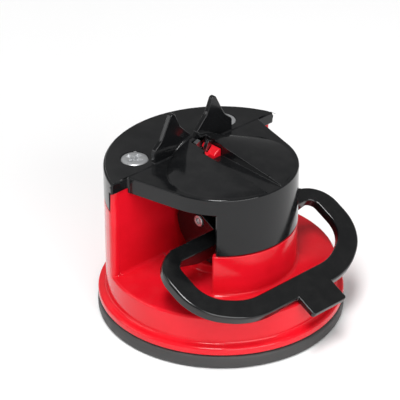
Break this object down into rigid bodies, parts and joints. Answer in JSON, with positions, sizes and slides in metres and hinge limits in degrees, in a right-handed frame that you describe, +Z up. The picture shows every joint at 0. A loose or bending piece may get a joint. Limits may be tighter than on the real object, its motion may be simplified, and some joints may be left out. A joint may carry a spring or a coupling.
{
  "type": "suction-base knife sharpener",
  "caption": "Worktop knife sharpener: crossed carbide plates between two upright fins, in a red housing with a black cap, held down by a rubber suction cup and a cam lever loop.",
  "frame": {"origin": "centre of the suction cup, on the surface that it grips", "axes": "+Z up; +X along the blade, towards the lever's tab; +Y to the rear side of the blade"},
  "size_m": [0.0656, 0.0622, 0.052],
  "materials": {
    "red_plastic": "glossy injection-moulded ABS",
    "black_plastic": "satin-gloss injection-moulded ABS",
    "cup_rubber": "matte moulded rubber",
    "zinc_steel": "zinc-plated steel",
    "spring_steel": "drawn spring steel",
    "carbide": "ground tungsten carbide",
    "stem_nylon": "moulded nylon"
  },
  "bodies": {
    "base": {"suction_cup": "cup_rubber", "base_housing": "red_plastic", "top_cap": "black_plastic", "return_spring": "spring_steel", "column_screw": "zinc_steel", "cap_screw_front": "zinc_steel", "cap_screw_rear": "zinc_steel", "cutter_block": "red_plastic", "cutter_clamp": "zinc_steel", "carbide_plate_front": "carbide", "carbide_plate_rear": "carbide", "clamp_screw_front": "zinc_steel", "clamp_screw_rear": "zinc_steel"},
    "stem": {"cup_disc": "stem_nylon", "lift_stem": "stem_nylon", "cross_pin": "zinc_steel", "pin_washer_front": "zinc_steel", "pin_washer_rear": "zinc_steel"},
    "lever": {"lever": "black_plastic"}
  },
  "joints": [
    {"name": "stem_lift", "type": "slide", "parent": "base", "child": "stem", "axis": [0, 0, 1], "range_m": [-0.0025, 0], "deforming": ["return_spring", "suction_cup"]},
    {"name": "lever_turn", "type": "hinge", "parent": "stem", "child": "lever", "pos_m": [0, 0, 0.0265], "axis": [0, -1, 0], "range_deg": [0, 90]}
  ],
  "couplings": [
    {"joint": "stem_lift", "follows": "lever_turn", "m_per_rad": -0.0015915}
  ]
}
